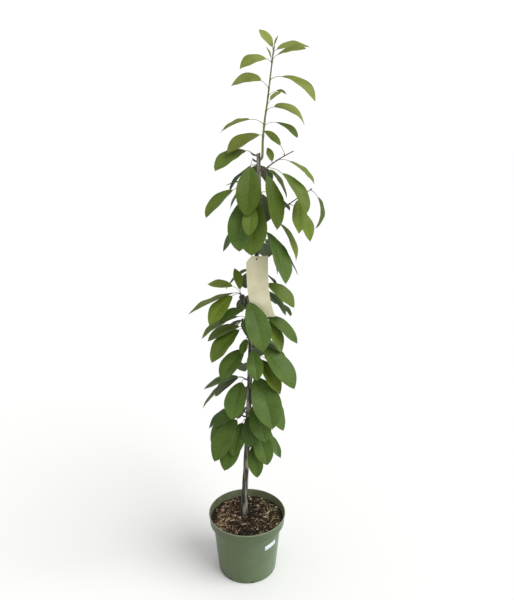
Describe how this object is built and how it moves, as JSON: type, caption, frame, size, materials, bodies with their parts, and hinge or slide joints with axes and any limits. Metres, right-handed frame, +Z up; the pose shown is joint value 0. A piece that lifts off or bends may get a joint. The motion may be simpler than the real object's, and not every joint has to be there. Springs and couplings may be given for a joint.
{
  "type": "potted cherry tree",
  "caption": "Slim upright fruit tree in a round nursery pot: one tapering trunk, short leafy spurs all the way up, a leafy leader above the pruning cut, and a hanging card tag.",
  "frame": {"origin": "centre of the pot's flat underside, on the ground", "axes": "+Z up the tree, -Y towards the front, where the tag hangs, and +X to the front's right"},
  "size_m": [0.3905, 0.2726, 1.6671],
  "materials": {
    "pot_plastic": "moulded polypropylene, satin, sage green",
    "potting_mix": "moist shredded bark mix, dark brown",
    "bark": "dark grey-brown young bark with pale streaks",
    "shoot_bark": "green soft wood of this season",
    "leaf": "soft mid-green cherry leaves, satin on top",
    "leaf_back": "darker green leaves",
    "leaf_young": "light yellow-green young leaves",
    "tag_card": "plain beige plastic-coated card",
    "tie_cord": "thin brown cord"
  },
  "bodies": {
    "root": {"back_spur_01": "leaf_back", "back_spur_02": "leaf_back", "back_spur_03": "leaf_back", "back_spur_04": "leaf_back", "back_spur_05": "leaf_back", "back_spur_06": "leaf_back", "back_spur_07": "leaf_back", "back_spur_08": "leaf_back", "back_spur_09": "leaf_back", "back_spur_10": "leaf_back", "back_spur_11": "leaf_back", "back_spur_12": "leaf_back", "high_shoot": "bark", "high_shoot_leaves": "leaf", "leader": "shoot_bark", "leader_leaves": "leaf_young", "low_shoot": "bark", "low_shoot_leaves": "leaf", "pot": "pot_plastic", "soil": "potting_mix", "spur_behind_tag": "leaf", "spur_broad_left": "leaf", "spur_broad_right": "leaf", "spur_button_left": "leaf", "spur_crown_left": "leaf", "spur_curled_left": "leaf", "spur_dark_left": "leaf", "spur_dark_right": "leaf", "spur_fan_left": "leaf", "spur_foot": "leaf", "spur_hanging": "leaf", "spur_heavy_front": "leaf", "spur_heavy_left": "leaf", "spur_high_front": "leaf", "spur_high_right": "leaf", "spur_long_right": "leaf", "spur_low_front": "leaf", "spur_low_left": "leaf", "spur_low_right": "leaf", "spur_mid_front": "leaf", "spur_mid_left": "leaf", "spur_mid_right": "leaf", "spur_narrow_right": "leaf", "spur_over_tag": "leaf", "spur_side_right": "leaf", "spur_small_front": "leaf", "spur_small_left": "leaf", "spur_thin_left": "leaf", "spur_upper_right": "leaf", "spur_young_front": "leaf", "stub": "bark", "stub_leaves": "leaf", "tag": "tag_card", "tag_tie": "tie_cord", "trunk": "bark"}
  },
  "joints": []
}
